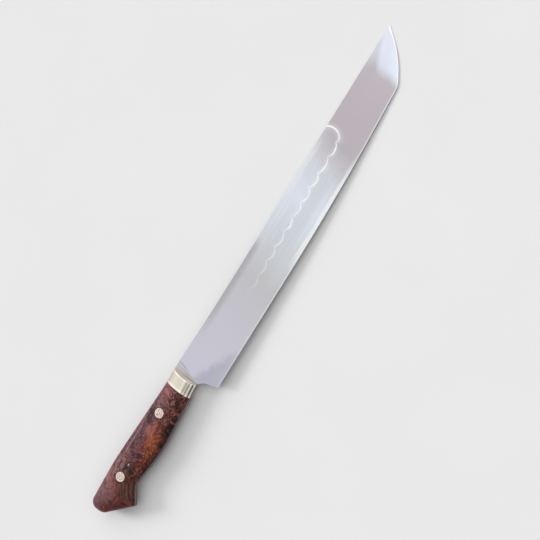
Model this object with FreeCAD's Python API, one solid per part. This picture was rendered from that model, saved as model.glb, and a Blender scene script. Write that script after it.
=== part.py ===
import FreeCAD, Part
import math
import os

os.makedirs("parts", exist_ok=True)
Vector = FreeCAD.Vector

# A full-tang carving knife lying on its side, in millimetres.
# While it is drawn, x runs from the heel to the tip, y from the cutting edge
# to the spine and z out of the right side. The middle plane is z = 0.

# Blade outline
blade_length = 301.8        # heel to tip
heel_height = 38.4          # spine above the edge, at the bolster
spine_bend_x = 55.8         # the spine sinks a little as far as here, then runs straight
spine_bend_drop = 1.15
spine_bend_radius = 2000.0
tip_drop = 0.6              # tip below the spine at the bolster
shoulder_setback = 33.6     # tip back to the corner where the edge turns up
shoulder_rise = 7.0
shoulder_radius = 12.0
edge_bend_setback = 89.4    # behind the shoulder, where the edge begins to rise in a long arc
edge_bend_rise = 1.0
edge_bend_run = 68.0        # how far from that corner its arc begins and ends
tip_bend_ahead = 19.0       # the swept end of the edge bends once more on its way up
tip_bend_rise = 11.5
tip_bend_run = 15.0
choil_length = 7.9          # heel back to the bolster
choil_bend_drop = 5.6       # along the line from bolster to heel
choil_hollow = 1.95         # off that line
choil_radius = 8.0

# Blade thickness
stock_thickness = 2.5       # tang, and spine at the bolster
tip_spine_thickness = 1.7   # what the side flats would leave at the tip
tip_thickness = 0.5         # what the tip facets leave there
shoulder_edge_thickness = 0.24
tip_facet_length = 17.8     # length of the tip facets along the spine
bevel_angle = 15.0          # degrees on each side of the cutting edge

# Handle outline, heights from the spine at the bolster
handle_length = 135.1       # with the bolster
bolster_length = 12.5
bolster_front_slope = 14.0  # degrees, the front leans back from the blade
bolster_front_rounding = 0.5
spine_dip_setback = 15.3    # behind the bolster's front
spine_dip_drop = 0.8
spine_dip_radius = 150.0
spine_hump_ahead = 43.8     # ahead of the butt's end
spine_hump_rise = 2.0
spine_hump_radius = 300.0
butt_top_radius = 7.0
butt_lean = 1.4
butt_height = 13.4
butt_low_radius = 9.0
beak_ahead = 23.8           # ahead of the butt's end
beak_depth = 33.0
beak_radius = 1.6
neck_ahead = 13.8           # ahead of the beak
neck_rise = 9.3
neck_radius = 4.0
belly_ahead = 35.7          # ahead of the neck
belly_depth = 27.8
belly_radius = 140.0
bolster_depth = 22.65

# Handle section
handle_thickness = 14.0
handle_rounding = 5.4       # along all outer edges of the handle
least_wall = 0.3            # upright wall left under that rounding

# Pins
handle_pin_diameter = 8.0
front_pin_setback = 23.5    # behind the bolster
front_pin_depth = 10.9
rear_pin_ahead = 37.0       # ahead of the butt's end
rear_pin_depth = 11.5
bolster_pin_diameter = 3.0
bolster_pin_spacing = 9.0
glue_gap = 0.05             # around each pin

nearness = 0.01             # how closely a place is matched when edges are picked

half_stock = stock_thickness / 2
half_handle = handle_thickness / 2
scale_thickness = half_handle - half_stock
rounding = min(handle_rounding, scale_thickness - least_wall)
tip_height = heel_height - tip_drop
spine_bend_height = heel_height - spine_bend_drop
shoulder_x = blade_length - shoulder_setback
bolster_front_x = -choil_length
bolster_rear_x = bolster_front_x - bolster_length
belly_front_height = heel_height - bolster_depth
butt_x = bolster_front_x - handle_length
beak_x = butt_x + beak_ahead
beak_height = heel_height - beak_depth
neck_x = beak_x + neck_ahead
reach = 2 * blade_length    # larger than the knife, for cutting blocks


def unit(vector):
    """The same direction with length one."""
    return Vector(vector).normalize()


def rounded_edges(corners):
    """Lines and tangent arcs round a closed polygon of (x, y, radius) corners."""
    points = [Vector(x, y, 0) for x, y, radius in corners]
    count = len(points)
    starts = []
    ends = []
    middles = []
    for index in range(count):
        corner = points[index]
        radius = corners[index][2]
        back = unit(points[index - 1] - corner)
        ahead = unit(points[(index + 1) % count] - corner)
        if radius == 0:
            starts.append(corner)
            ends.append(corner)
            middles.append(None)
            continue
        half_angle = back.getAngle(ahead) / 2
        run = radius / math.tan(half_angle)
        nearest = radius / math.sin(half_angle) - radius
        starts.append(corner + back * run)
        ends.append(corner + ahead * run)
        middles.append(corner + unit(back + ahead) * nearest)
    edges = []
    for index in range(count):
        following = (index + 1) % count
        if middles[index] is not None:
            arc = Part.Arc(starts[index], middles[index], ends[index])
            edges.append(arc.toShape())
        edges.append(Part.makeLine(ends[index], starts[following]))
    return edges


def rounded_wire(corners, height):
    """The rounded polygon as a closed wire at one height."""
    wire = Part.Wire(rounded_edges(corners))
    wire.translate(Vector(0, 0, height))
    return wire


def slab(corners, bottom, top):
    """The rounded polygon as a plate between two heights."""
    face = Part.Face(rounded_wire(corners, bottom))
    return face.extrude(Vector(0, 0, top - bottom))


def block(x_low, x_high, z_low, z_high):
    """A block that is wider than the knife."""
    size = Vector(x_high - x_low, 2 * reach, z_high - z_low)
    return Part.makeBox(size.x, size.y, size.z, Vector(x_low, -reach, z_low))


def outside_plane(first, second, third):
    """All that lies above the plane through three points of the right side."""
    normal = unit((second - first).cross(third - first))
    if normal.z < 0:
        normal = -normal
    half_space = Part.makeBox(2 * reach, 2 * reach, reach, Vector(-reach, -reach, 0))
    turn = FreeCAD.Rotation(Vector(0, 0, 1), normal)
    half_space.Placement = FreeCAD.Placement(first, turn)
    return half_space


def left_of(shape):
    """The mirror image of a shape of the right side."""
    return shape.mirror(Vector(0, 0, 0), Vector(0, 0, 1))


def pin(x, y, diameter, clearance):
    """An upright round pin through the whole handle, or the hole for it."""
    radius = diameter / 2 + clearance
    return Part.makeCylinder(radius, handle_thickness, Vector(x, y, -half_handle))


# Corners of the outline, each with its radius
def radius_of_run(before, corner, after, run):
    """Radius of the arc that leaves both sides of a corner at the same distance from it."""
    half_angle = (before - corner).getAngle(after - corner) / 2
    return run * math.tan(half_angle)


heel = Vector(0, 0, 0)
shoulder = Vector(shoulder_x, shoulder_rise, 0)
edge_bend = Vector(shoulder_x - edge_bend_setback, edge_bend_rise, 0)
tip_bend = shoulder + Vector(tip_bend_ahead, tip_bend_rise, 0)
tip = Vector(blade_length, tip_height, 0)
edge_bend_radius = radius_of_run(heel, edge_bend, shoulder, edge_bend_run)
tip_bend_radius = radius_of_run(shoulder, tip_bend, tip, tip_bend_run)
edge_corners = [
    (heel.x, heel.y, 0),
    (edge_bend.x, edge_bend.y, edge_bend_radius),
    (shoulder.x, shoulder.y, shoulder_radius),
    (tip_bend.x, tip_bend.y, tip_bend_radius),
    (tip.x, tip.y, 0),
]
spine_corner = (spine_bend_x, spine_bend_height, spine_bend_radius)
choil_top = Vector(bolster_front_x, belly_front_height, 0)
choil_line = unit(heel - choil_top)
into_blade = Vector(-choil_line.y, choil_line.x, 0)
choil_bend = choil_top + choil_line * choil_bend_drop + into_blade * choil_hollow
choil_corner = (choil_bend.x, choil_bend.y, choil_radius)


def handle_corners(beak_rounding):
    """The handle from the bolster's front at the spine round to its front at the belly."""
    return [
        (bolster_front_x, heel_height, 0),
        (bolster_front_x - spine_dip_setback, heel_height - spine_dip_drop, spine_dip_radius),
        (butt_x + spine_hump_ahead, heel_height + spine_hump_rise, spine_hump_radius),
        (butt_x, heel_height, butt_top_radius),
        (butt_x + butt_lean, heel_height - butt_height, butt_low_radius),
        (beak_x, beak_height, beak_rounding),
        (neck_x, beak_height + neck_rise, neck_radius),
        (neck_x + belly_ahead, heel_height - belly_depth, belly_radius),
        (bolster_front_x, belly_front_height, 0),
    ]


knife_corners = edge_corners + [spine_corner] + handle_corners(beak_radius) + [choil_corner]


# Blade and tang: one plate, ground on both sides from the bolster to the tip
def spine_height(x):
    """Height of the straight spine between its bend and the tip."""
    slope = (tip_height - spine_bend_height) / (blade_length - spine_bend_x)
    return tip_height + slope * (x - blade_length)


heel_spine = Vector(bolster_front_x, heel_height, half_stock)
tip_spine = Vector(tip.x, tip.y, tip_spine_thickness / 2)
shoulder_side = Vector(shoulder.x, shoulder.y, shoulder_edge_thickness / 2)
side_flat = outside_plane(heel_spine, tip_spine, shoulder_side)

facet_x = blade_length - tip_facet_length
facet_share = (facet_x - bolster_front_x) / (blade_length - bolster_front_x)
facet_half = half_stock + (tip_spine_thickness / 2 - half_stock) * facet_share
facet_spine = Vector(facet_x, spine_height(facet_x), facet_half)
tip_end = Vector(tip.x, tip.y, tip_thickness / 2)
tip_flat = outside_plane(facet_spine, tip_end, shoulder_side)


def bevel_wire(inset, height):
    """The cutting edge moved into the blade, closed beyond the heel, tip and spine."""
    runs = []
    for start, end in zip(edge_corners[:-1], edge_corners[1:]):
        along = unit(Vector(end[0] - start[0], end[1] - start[1], 0))
        inward = Vector(-along.y, along.x, 0)
        runs.append((Vector(start[0], start[1], 0) + inward * inset, along))
    before_heel = runs[0][0] - runs[0][1] * blade_length
    beyond_tip = runs[-1][0] + runs[-1][1] * blade_length
    corners = [(before_heel.x, before_heel.y, 0)]
    for index in range(1, len(runs)):
        base, along = runs[index - 1]
        other, turned = runs[index]
        distance = (other - base).cross(turned).z / along.cross(turned).z
        meeting = base + along * distance
        corners.append((meeting.x, meeting.y, edge_corners[index][2] - inset))
    corners.append((beyond_tip.x, beyond_tip.y, 0))
    corners.append((before_heel.x, reach, 0))
    return rounded_wire(corners, height)


bevel_inset = stock_thickness / math.tan(math.radians(bevel_angle))
kept_by_bevel = Part.makeLoft(
    [bevel_wire(0, 0), bevel_wire(bevel_inset, stock_thickness)], True, True)
blade_zone = block(bolster_front_x, reach, 0, stock_thickness)
ground_away = [
    side_flat.common(blade_zone),
    tip_flat.common(blade_zone),
    blade_zone.cut(kept_by_bevel),
]
blade = slab(knife_corners, -half_stock, half_stock)
for removed in ground_away:
    blade = blade.cut(removed).cut(left_of(removed))

# Pins
bolster_middle_x = bolster_front_x - bolster_length / 2
bolster_middle_height = heel_height - bolster_depth / 2
pin_sizes = {
    "handle_pin_front": (
        bolster_rear_x - front_pin_setback, heel_height - front_pin_depth, handle_pin_diameter),
    "handle_pin_rear": (
        butt_x + rear_pin_ahead, heel_height - rear_pin_depth, handle_pin_diameter),
    "bolster_pin_upper": (
        bolster_middle_x, bolster_middle_height + bolster_pin_spacing / 2, bolster_pin_diameter),
    "bolster_pin_lower": (
        bolster_middle_x, bolster_middle_height - bolster_pin_spacing / 2, bolster_pin_diameter),
}
pins = {}
for name, (x, y, diameter) in pin_sizes.items():
    pins[name] = pin(x, y, diameter, 0)
    blade = blade.cut(pin(x, y, diameter, glue_gap))

# Handle side: bolster and scale are shaped together, so their surfaces run through
side = slab(handle_corners(0), half_stock, half_handle)
outer_edges = []
for edge in side.Edges:
    on_top = edge.BoundBox.ZMin > half_handle - nearness
    at_front = edge.BoundBox.XMin > bolster_rear_x
    if on_top and not at_front:
        outer_edges.append(edge)
side = side.makeFillet(rounding, outer_edges)
side = side.common(slab(handle_corners(beak_radius), half_stock, half_handle))
for x, y, diameter in pin_sizes.values():
    side = side.cut(pin(x, y, diameter, glue_gap))

# Bolster: its front leans back from the blade
lean = math.tan(math.radians(bolster_front_slope)) * scale_thickness
front_low = Vector(bolster_front_x, 0, half_stock)
front_side = Vector(bolster_front_x, reach / 2, half_stock)
front_high = Vector(bolster_front_x - lean, 0, half_handle)
bolster = side.common(block(bolster_rear_x, reach, 0, reach))
bolster = bolster.cut(outside_plane(front_low, front_side, front_high))
front_edges = []
for edge in bolster.Edges:
    at_front = edge.BoundBox.XMin > bolster_front_x - lean - nearness
    on_tang = edge.BoundBox.ZMax < half_stock + nearness
    if at_front and not on_tang:
        front_edges.append(edge)
bolster = bolster.makeFillet(bolster_front_rounding, front_edges)
scale = side.common(block(-reach, bolster_rear_x, 0, reach))

# All pieces, with the origin under the middle of the knife
pieces = {
    "blade": blade,
    "bolster_right": bolster,
    "bolster_left": left_of(bolster),
    "handle_scale_right": scale,
    "handle_scale_left": left_of(scale),
}
pieces.update(pins)
everything = Part.makeCompound(list(pieces.values())).optimalBoundingBox(False)
origin = Vector(everything.Center.x, everything.Center.y, -half_handle)
for name, shape in pieces.items():
    shape.translate(-origin)
    shape.exportStep("parts/" + name + ".step")
    print(name, len(shape.Solids), round(shape.Volume, 1), shape.isValid())
print("origin", round(origin.x, 3), round(origin.y, 3), round(origin.z, 3))
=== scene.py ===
# %% [markdown]
# # A carving knife and its finishes
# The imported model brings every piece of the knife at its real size: one plate of steel that is both
# blade and tang, two bolster halves, two slabs of burl and four pins. This lesson gives each piece a
# smooth skin and a finish. The model's own solids stay where they are and only tell us the sizes, so
# everything below is worked out from them.

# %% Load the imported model
import math
from types import SimpleNamespace

import bmesh
import bpy
import numpy as np
from mathutils import Matrix, Vector


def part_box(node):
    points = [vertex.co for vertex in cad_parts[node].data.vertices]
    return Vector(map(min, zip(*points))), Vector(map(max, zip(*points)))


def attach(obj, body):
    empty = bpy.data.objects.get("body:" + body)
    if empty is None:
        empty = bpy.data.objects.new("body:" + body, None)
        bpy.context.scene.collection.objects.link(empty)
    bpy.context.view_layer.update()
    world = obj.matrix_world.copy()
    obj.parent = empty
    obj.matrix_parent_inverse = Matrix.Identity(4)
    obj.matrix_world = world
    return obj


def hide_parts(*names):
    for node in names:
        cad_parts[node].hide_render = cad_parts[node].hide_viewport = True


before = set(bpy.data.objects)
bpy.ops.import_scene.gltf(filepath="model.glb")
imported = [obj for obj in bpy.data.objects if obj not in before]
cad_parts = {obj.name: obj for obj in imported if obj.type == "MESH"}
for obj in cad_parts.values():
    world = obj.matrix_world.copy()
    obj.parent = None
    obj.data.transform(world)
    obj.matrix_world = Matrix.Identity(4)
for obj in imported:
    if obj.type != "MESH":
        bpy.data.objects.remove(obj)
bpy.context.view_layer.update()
MM = 0.001
print("packed nodes:", sorted(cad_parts))

# %% [markdown]
# ## Reading the outline off the model
# The knife's outline could be typed in again, but then it would exist twice and could drift. Instead a
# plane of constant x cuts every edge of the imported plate, and the lowest and highest cuts are the belly
# or cutting edge and the spine at that place. All planes and all edges are compared in one array.

# %% Main places along the knife
BEAK_AHEAD = 23.8 * MM
CHOIL_LENGTH = 7.9 * MM
SHOULDER_SETBACK = 33.6 * MM
plate_low, plate_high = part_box("blade")
bolster_low, bolster_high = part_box("bolster_right")
BUTT_X, TIP_X = plate_low.x, plate_high.x
SEAM_X, BOLSTER_X = bolster_low.x, bolster_high.x
BEAK_X = BUTT_X + BEAK_AHEAD
HEEL_X = BOLSTER_X + CHOIL_LENGTH
SHOULDER_X = TIP_X - SHOULDER_SETBACK
MID_Z = (plate_low.z + plate_high.z) / 2
HALF_STOCK = (plate_high.z - plate_low.z) / 2
HALF_HANDLE = bolster_high.z - MID_Z
knots = np.array([BUTT_X, BEAK_X, BOLSTER_X, HEEL_X, SHOULDER_X, TIP_X])
print("butt, beak, bolster, heel, shoulder, tip in mm:", (knots / MM).round(1).tolist())

# %% Cutting the plate by planes
UPRIGHT = 1e-9
SLACK = 1e-6


def points_of(mesh):
    """All vertices of a mesh, as one row of x, y and z each."""
    flat = np.empty(len(mesh.vertices) * 3)
    mesh.vertices.foreach_get("co", flat)
    return flat.reshape(-1, 3)


def cut_by_planes(node, stations):
    """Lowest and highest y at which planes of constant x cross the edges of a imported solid.

    Along an edge from a to b, the crossing lies at the share (x - a.x) / (b.x - a.x)."""
    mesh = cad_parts[node].data
    pairs = np.empty(len(mesh.edges) * 2, dtype=int)
    mesh.edges.foreach_get("vertices", pairs)
    start, end = points_of(mesh)[pairs.reshape(-1, 2).T]
    run = end[:, 0] - start[:, 0]
    sloping = np.abs(run) > UPRIGHT
    start, end, run = start[sloping], end[sloping], run[sloping]
    share = (stations[:, None] - start[:, 0]) / run
    height = start[:, 1] + share * (end[:, 1] - start[:, 1])
    crossed = (share > -SLACK) & (share < 1 + SLACK)
    low = np.where(crossed, height, np.inf).min(axis=1)
    high = np.where(crossed, height, -np.inf).max(axis=1)
    return low, high


at_heel = np.concatenate(cut_by_planes("blade", np.array([HEEL_X])))
print("edge and spine at the heel, y in mm:", (at_heel / MM).round(2).tolist())

# %% Outline of the plate
ROWS = (90, 130, 40, 220, 60)
STEP = 0.01 * MM


def bunched(places, counts):
    """Stations from place to place, closer near each of them: half a turn of a cosine per span."""
    spans = []
    for start, end, count in zip(places[:-1], places[1:], counts):
        turn = np.linspace(0, math.pi, count, endpoint=False)
        spans.append(start + (end - start) * (1 - np.cos(turn)) / 2)
    return np.concatenate(spans + [places[-1:]])


outline_x = np.unique(np.append(bunched(knots, ROWS), BOLSTER_X - STEP))
outline_low, outline_high = cut_by_planes("blade", outline_x)
edge_slope = np.gradient(outline_low, outline_x)


def outline_at(x):
    """Heights of the belly or cutting edge and of the spine, straight from station to station."""
    return np.interp(x, outline_x, outline_low), np.interp(x, outline_x, outline_high)


heel_low, _ = outline_at(HEEL_X)
bolster_foot, bolster_top = outline_at(BOLSTER_X)
print(len(outline_x), "stations, heel", round((bolster_top - heel_low) / MM, 1), "mm high")

# %% [markdown]
# ## From loops to a closed skin
# Every piece here is a closed loop of points that is carried along a path: the steel's cross-section
# from butt to tip, the wood's section along the handle, a circle along a pin. One function turns such a
# grid of loops into a mesh. It sews each loop to the next and closes the two ends by joining mirrored
# points of the loop. Another one seals a mesh: it merges points that fall together, so that poles and
# seams end up closed, and turns every face outward.

# %% One skin for all pieces
MERGE = 2e-6
CREASE = math.radians(35)


def seal(mesh):
    """Merges points that fall together, fills what is open, turns faces outward, marks creases."""
    work = bmesh.new()
    work.from_mesh(mesh)
    bmesh.ops.remove_doubles(work, verts=work.verts, dist=MERGE)
    bmesh.ops.dissolve_degenerate(work, edges=work.edges, dist=MERGE)
    bmesh.ops.holes_fill(work, edges=[edge for edge in work.edges if edge.is_boundary])
    bmesh.ops.recalc_face_normals(work, faces=work.faces)
    open_edges = sum(not edge.is_manifold for edge in work.edges)
    work.to_mesh(mesh)
    work.free()
    mesh.shade_smooth()
    mesh.set_sharp_from_angle(angle=CREASE)
    print(mesh.name, len(mesh.polygons), "faces,", open_edges, "open edges")


def skin(name, loops):
    """Mesh object from an array of loops (loop, point, xyz).

    Face k of a row joins points k and k + 1 of two neighbouring loops. An end loop of n points is
    closed by quads between points k, k + 1 and their mirror images n - 1 - k, n - 2 - k."""
    rows, count, _ = loops.shape
    number = np.arange(rows * count).reshape(rows, count)
    after = np.roll(number, -1, axis=1)
    sides = np.stack([number[:-1], after[:-1], after[1:], number[1:]], axis=-1).reshape(-1, 4)
    near = np.arange(count // 2 - 1)
    far = count - 1 - near
    ends = [np.stack([row[near], row[far], row[far - 1], row[near + 1]], axis=-1)
            for row in (number[0], number[-1])]
    faces = np.concatenate([sides] + ends)
    mesh = bpy.data.meshes.new(name)
    mesh.from_pydata(loops.reshape(-1, 3).tolist(), [], faces.tolist())
    seal(mesh)
    piece = bpy.data.objects.new(name, mesh)
    bpy.context.scene.collection.objects.link(piece)
    return piece


def stands_for(piece, node):
    """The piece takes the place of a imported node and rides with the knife."""
    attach(piece, "root")
    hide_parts(node)
    return piece


print("points within", MERGE / MM, "mm become one")

# %% [markdown]
# ## The steel: blade and tang in one plate
# The real plate is ground on both sides: a flat that thins from spine to edge, a short facet at the
# tip, and a narrow bevel that makes the cutting edge. A thin box could be cut by planes to get there, but
# its lines would be hard and its mesh uneven. Here each plane gives a half thickness at any place, and
# the ground plate is simply the least of them. A soft minimum rounds the lines between them, as hand
# polishing does. Just ahead of the bolster the grinding wheel swung out of the steel and left a hollow
# ramp, the plunge, which is longest at the spine.

# %% Planes of the ground plate
SPINE_AT_TIP = 0.85 * MM
TIP_POINT = 0.25 * MM
EDGE_AT_SHOULDER = 0.12 * MM
SHOULDER_RISE = 7 * MM
FACET_LENGTH = 17.8 * MM


def plane_through(first, second, third):
    """Coefficients (a, b, c) of z = a x + b y + c through three points."""
    points = np.array([first, second, third])
    system = np.column_stack([points[:, :2], np.ones(3)])
    return np.linalg.solve(system, points[:, 2])


spine_at_bolster = (BOLSTER_X, bolster_top, HALF_STOCK)
tip_top = outline_high[-1]
shoulder = (SHOULDER_X, heel_low + SHOULDER_RISE, EDGE_AT_SHOULDER)
side_flat = plane_through(spine_at_bolster, (TIP_X, tip_top, SPINE_AT_TIP), shoulder)
facet_x = TIP_X - FACET_LENGTH
_, facet_top = outline_at(facet_x)
facet_start = (facet_x, facet_top, side_flat @ (facet_x, facet_top, 1))
tip_facet = plane_through(facet_start, (TIP_X, tip_top, TIP_POINT), shoulder)
print("side flat leans", round(math.degrees(math.atan(side_flat[1])), 2), "degrees to the edge")

# %% Thickness of the ground plate
BEVEL_SLOPE = math.tan(math.radians(11.5))
APEX = 0.008 * MM
ROLL_OFF = 9 * MM
ROLL_OFF_SHARE = 0.35
FACET_BLEND = 0.10 * MM
BEVEL_BLEND = 0.02 * MM
PLUNGE_RUN = 6.1 * MM
PLUNGE_LEAST = 0.8 * MM
PLUNGE_CURVE = 0.7


def soft_least(a, b, reach):
    """The smaller of two values, rounded where they differ by less than reach."""
    near = np.clip(1 - np.abs(a - b) / reach, 0, 1)
    return np.minimum(a, b) - near ** 2 * reach / 4


def over_edge(y, low, slope):
    """Distance from the cutting edge: (y - low) / sqrt(1 + slope^2)."""
    return (y - low) / np.sqrt(1 + slope ** 2)


def half_thickness(x, y, from_edge):
    """Half of the steel at a place: the soft least of side flat, tip facet and edge bevel.

    The flat loses a share of its thickness towards the edge, by the square of the nearness, and
    gains what the plunge leaves near the bolster, by the square of what is left of its run."""
    flat = side_flat[0] * x + side_flat[1] * y + side_flat[2]
    flat = flat * (1 - ROLL_OFF_SHARE * np.clip(1 - from_edge / ROLL_OFF, 0, 1) ** 2)
    share = np.clip((y - bolster_foot) / (bolster_top - bolster_foot), 0, 1)
    plunge = np.maximum(PLUNGE_RUN * share ** PLUNGE_CURVE, PLUNGE_LEAST)
    flat = flat + (HALF_STOCK - flat) * np.clip(1 - (x - BOLSTER_X) / plunge, 0, 1) ** 2
    facet = tip_facet[0] * x + tip_facet[1] * y + tip_facet[2]
    half = np.where(x > BOLSTER_X - STEP / 2, soft_least(flat, facet, FACET_BLEND), HALF_STOCK)
    bevel = APEX + from_edge * BEVEL_SLOPE
    return np.where(x > HEEL_X, soft_least(half, bevel, BEVEL_BLEND), half)


print("bevel", round(math.degrees(math.atan(BEVEL_SLOPE)), 1), "degrees on each side")

# %% Skin of the steel
SPINE_ROUNDING = 0.12 * MM
TANG_ROUNDING = 0.04 * MM
MOST_ROUNDING = 0.4
SIDE_COLUMNS = 60
SPINE_COLUMNS = 6


def steel_loops():
    """Section of the plate at every station: up the right side, over the spine, down the left.

    A column at share s lies at low + s (high - low). The columns are the square of an even spacing,
    so they crowd towards the bevel, and the last few turn a quarter circle at the spine."""
    x, low, high = outline_x[:, None], outline_low[:, None], outline_high[:, None]
    corner = np.where(x > BOLSTER_X - STEP / 2, SPINE_ROUNDING, TANG_ROUNDING)
    corner = np.minimum(corner, MOST_ROUNDING * (high - low))
    even = np.linspace(0, 1, SIDE_COLUMNS)
    turn = np.linspace(0, math.pi / 2, SPINE_COLUMNS + 1)[1:]
    side_y = low + (high - low - corner) * even ** 2
    y = np.hstack([side_y, high - corner + corner * np.sin(turn)])
    drop = np.hstack([np.zeros((1, SIDE_COLUMNS)), 1 - np.cos(turn)[None]])
    half = half_thickness(x, y, over_edge(y, low, edge_slope[:, None]))
    half = np.maximum(half - np.minimum(corner, half) * drop, APEX)
    x = np.broadcast_to(x, y.shape)
    right = np.stack([x, y, MID_Z + half], axis=-1)
    left = np.stack([x, y, MID_Z - half], axis=-1)
    return np.concatenate([right, left[:, ::-1]], axis=1)


steel = stands_for(skin("blade_and_tang", steel_loops()), "blade")

# %% [markdown]
# ## The wood: two slabs with a crowned side
# A scale is shaped by hand until it fills the palm, so its side is never flat: it rises from the outline
# in a long curve and is level only along the middle. A Bevel modifier could round a slab, but only near
# its rim. The curve follows the outline all the way round the butt and the beak, so here the height of
# the wood depends only on how far a place is from the outline, as a quarter of an ellipse. The distance
# to a polyline is measured for every grid point at once. The wood stays a hair under the pins, as it does
# when it dries a little after the handle was sanded.

# %% Height of the handle's side
ROUNDING = 5.4 * MM
CROWN_REACH = 11 * MM
PAST_BOLSTER = 1 * MM
SHORTEST = 1e-18


def distance_to_outline(x, y):
    """Distance from grid points to the nearest segment of the handle's outline.

    A point's foot on a segment from a to b lies at the share ((p - a) . (b - a)) / |b - a|^2,
    held between 0 and 1."""
    inside = outline_x <= BOLSTER_X + PAST_BOLSTER
    edge_x = np.concatenate([outline_x[inside][::-1], outline_x[inside]])
    edge_y = np.concatenate([outline_low[inside][::-1], outline_high[inside]])
    corners = np.column_stack([edge_x, edge_y])
    along = np.diff(corners, axis=0)
    square = np.maximum((along ** 2).sum(axis=1), SHORTEST)
    away = np.stack([x, y], axis=-1).reshape(-1, 1, 2) - corners[:-1]
    share = np.clip((away * along).sum(axis=2) / square, 0, 1)
    gap = away - share[..., None] * along
    return np.sqrt((gap ** 2).sum(axis=2).min(axis=1)).reshape(x.shape)


def side_height(distance):
    """Height above the middle plane: a quarter of an ellipse from the wall up to the level middle."""
    inward = np.clip(1 - distance / CROWN_REACH, 0, 1)
    return HALF_HANDLE - ROUNDING * (1 - np.sqrt(1 - inward ** 2))


print("handle side from", round((HALF_HANDLE - ROUNDING) / MM, 1), "to", round(HALF_HANDLE / MM, 1), "mm")

# %% Columns across the handle
ROUND_COLUMNS = 16
FLAT_COLUMNS = 20
round_share = (1 - np.cos(np.linspace(0, math.pi / 2, ROUND_COLUMNS))) / 2
flat_share = np.linspace(0, 1, FLAT_COLUMNS + 2)[1:-1]


def across(low, high):
    """Heights y of the columns across the handle, crowded where the rounding is steep."""
    edge = np.minimum(2 * ROUNDING, high - low)
    lower = low + edge * round_share
    upper = high - edge * round_share[::-1]
    between = lower[:, -1:] + (upper[:, :1] - lower[:, -1:]) * flat_share
    return np.hstack([lower, between, upper])


def half_shell(x, y, height, side):
    """Loops over the outside of one half of the handle and back along the tang.

    The points go over at the given height and come back at half the stock. The left side is the
    same with its heights turned downwards."""
    over = np.stack([x, y, height], axis=-1)
    under = np.stack([x, y, np.full_like(height, HALF_STOCK)], axis=-1)
    loops = np.concatenate([over, under[:, ::-1]], axis=1)
    loops[..., 2] = MID_Z + side * loops[..., 2]
    return loops


print("columns across the handle:", 2 * ROUND_COLUMNS + FLAT_COLUMNS)

# %% Skins of the two scales
SIDES = {"right": 1, "left": -1}
WOOD_SHRINKAGE = 0.04 * MM
scale_x = np.append(outline_x[outline_x < SEAM_X], SEAM_X)[:, None]


def scale_loops(side):
    """Section of one scale at every station, as high as its distance from the outline allows."""
    y = across(*outline_at(scale_x))
    x = np.broadcast_to(scale_x, y.shape)
    height = side_height(distance_to_outline(x, y)) - WOOD_SHRINKAGE
    return half_shell(x, y, height, side)


scales = {}
for hand, side in SIDES.items():
    node = "handle_scale_" + hand
    scales[hand] = stands_for(skin("burl_" + node, scale_loops(side)), node)

# %% [markdown]
# ## The bolster: two cast blocks with a leaning front
# The bolster continues the shape of the wood, so it uses the same section. Its front leans back from
# the blade. A longer block could be cut off there, but then the grid would not follow the front. So each
# point of the section runs forward to its own limit, which depends on its height.
# The last half millimetre turns a small quarter circle inwards, which is what catches the light along
# the front, and then the front face runs down to the steel.

# %% Skins of the two bolster halves
FRONT_LEAN = math.tan(math.radians(14))
FRONT_ROUNDING = 0.6 * MM
BODY_ROWS = 12
TURN_ROWS = 8
FACE_ROWS = 10


def bolster_section():
    """Shares of the columns across the bolster, their heights and the directions inwards.

    The direction inwards is the slope of the section turned by a right angle, at length one."""
    middle_x = (SEAM_X + BOLSTER_X) / 2
    low, high = outline_at(middle_x)
    share = (across(np.array([[low]]), np.array([[high]]))[0] - low) / (high - low)
    height = side_height((high - low) * np.minimum(share, 1 - share))
    slope = np.gradient(height, share * (high - low))
    length = np.sqrt(1 + slope ** 2)
    return share, height, slope / length, -1 / length


def bolster_loops(side):
    """Section of one bolster half from the seam to the front, round the front edge, down to the steel.

    Along the body, a point at height z runs from the seam to front(z) = front - lean (z - foot).
    Round the edge it moves forward by r sin and inward by r (1 - cos). On the face it sinks to the foot."""
    share, z, inward_y, inward_z = bolster_section()
    front = BOLSTER_X - FRONT_LEAN * (z - HALF_STOCK)
    body = np.linspace(0, 1, BODY_ROWS)[:, None]
    turn = np.linspace(0, math.pi / 2, TURN_ROWS + 1)[1:, None]
    face = np.linspace(0, 1, FACE_ROWS + 1)[1:, None]
    x = np.vstack([SEAM_X + (front - FRONT_ROUNDING - SEAM_X) * body,
                   front - FRONT_ROUNDING + FRONT_ROUNDING * np.sin(turn)])
    inset = np.vstack([np.zeros_like(body), FRONT_ROUNDING * (1 - np.cos(turn))])
    height = np.maximum(z + inset * inward_z, HALF_STOCK)
    low, high = outline_at(x)
    y = np.clip(low + (high - low) * share + inset * inward_y, low, high)
    face_x = x[-1] + (BOLSTER_X - x[-1]) * face
    face_y = np.broadcast_to(y[-1], face_x.shape)
    face_height = height[-1] + (HALF_STOCK - height[-1]) * face
    return half_shell(np.vstack([x, face_x]), np.vstack([y, face_y]),
                      np.vstack([height, face_height]), side)


bolsters = {}
for hand, side in SIDES.items():
    node = "bolster_" + hand
    bolsters[hand] = stands_for(skin("cast_" + node, bolster_loops(side)), node)

# %% [markdown]
# ## The pins: turned rods
# The two large pins hold the wood and show as bright discs. A plain cylinder would stand out of the
# crowned side, but these were sanded together with the wood. So a pin is a circle carried along a short
# path, and its ends follow the same crown, with a small chamfer. The two thin pins hold the bolster. They
# are of its own alloy and were peened and ground away with it, so they end just under its skin.

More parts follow.
